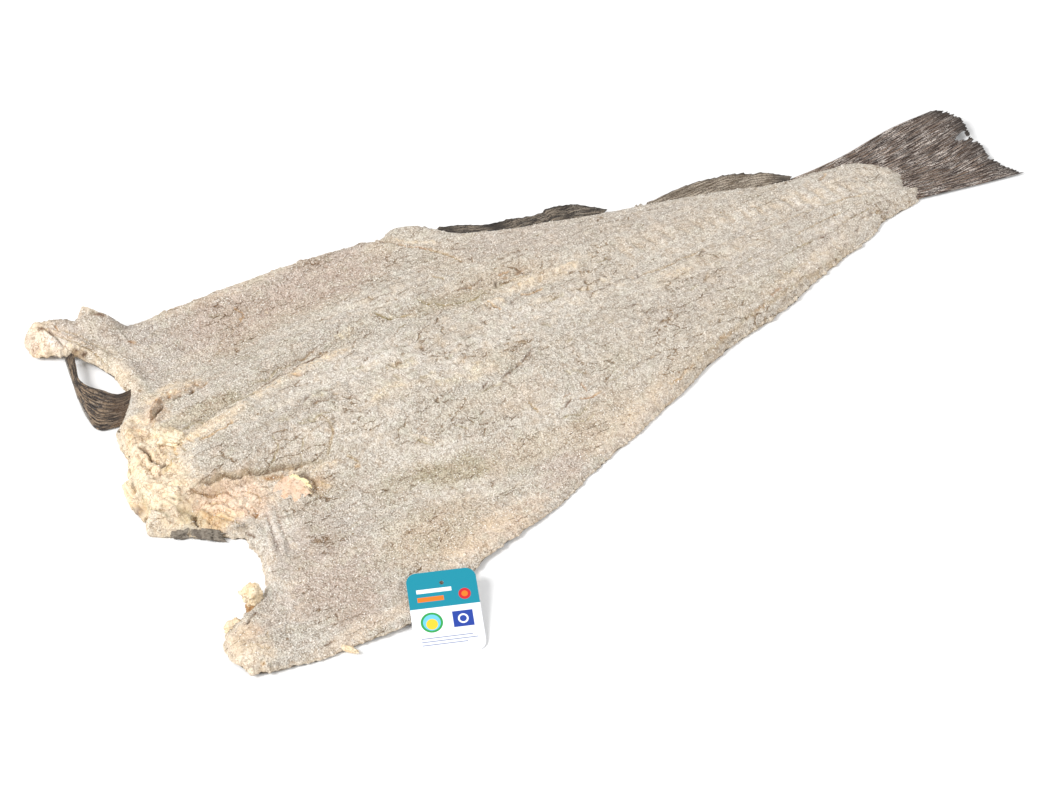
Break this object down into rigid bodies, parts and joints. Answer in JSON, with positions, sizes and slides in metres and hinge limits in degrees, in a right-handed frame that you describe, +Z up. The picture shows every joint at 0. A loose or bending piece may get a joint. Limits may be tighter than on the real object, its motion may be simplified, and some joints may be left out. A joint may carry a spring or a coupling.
{
  "type": "salted dried cod",
  "caption": "Whole salted dried cod without its head, split open and lying flat with the flesh side up, and a small paper tag leaning on its belly flap.",
  "frame": {"origin": "middle of the footprint, on the surface that the fish lies on", "axes": "+X along the fish from the nape to the tail, +Y across it towards the flap with the anal fins, +Z up out of the flesh side"},
  "size_m": [0.7804, 0.4302, 0.0286],
  "materials": {
    "dried_flesh": "dry, matt, rough with salt",
    "card": "coated card, semi-matt"
  },
  "bodies": {
    "root": {"cod": "dried_flesh", "tag": "card"}
  },
  "joints": []
}
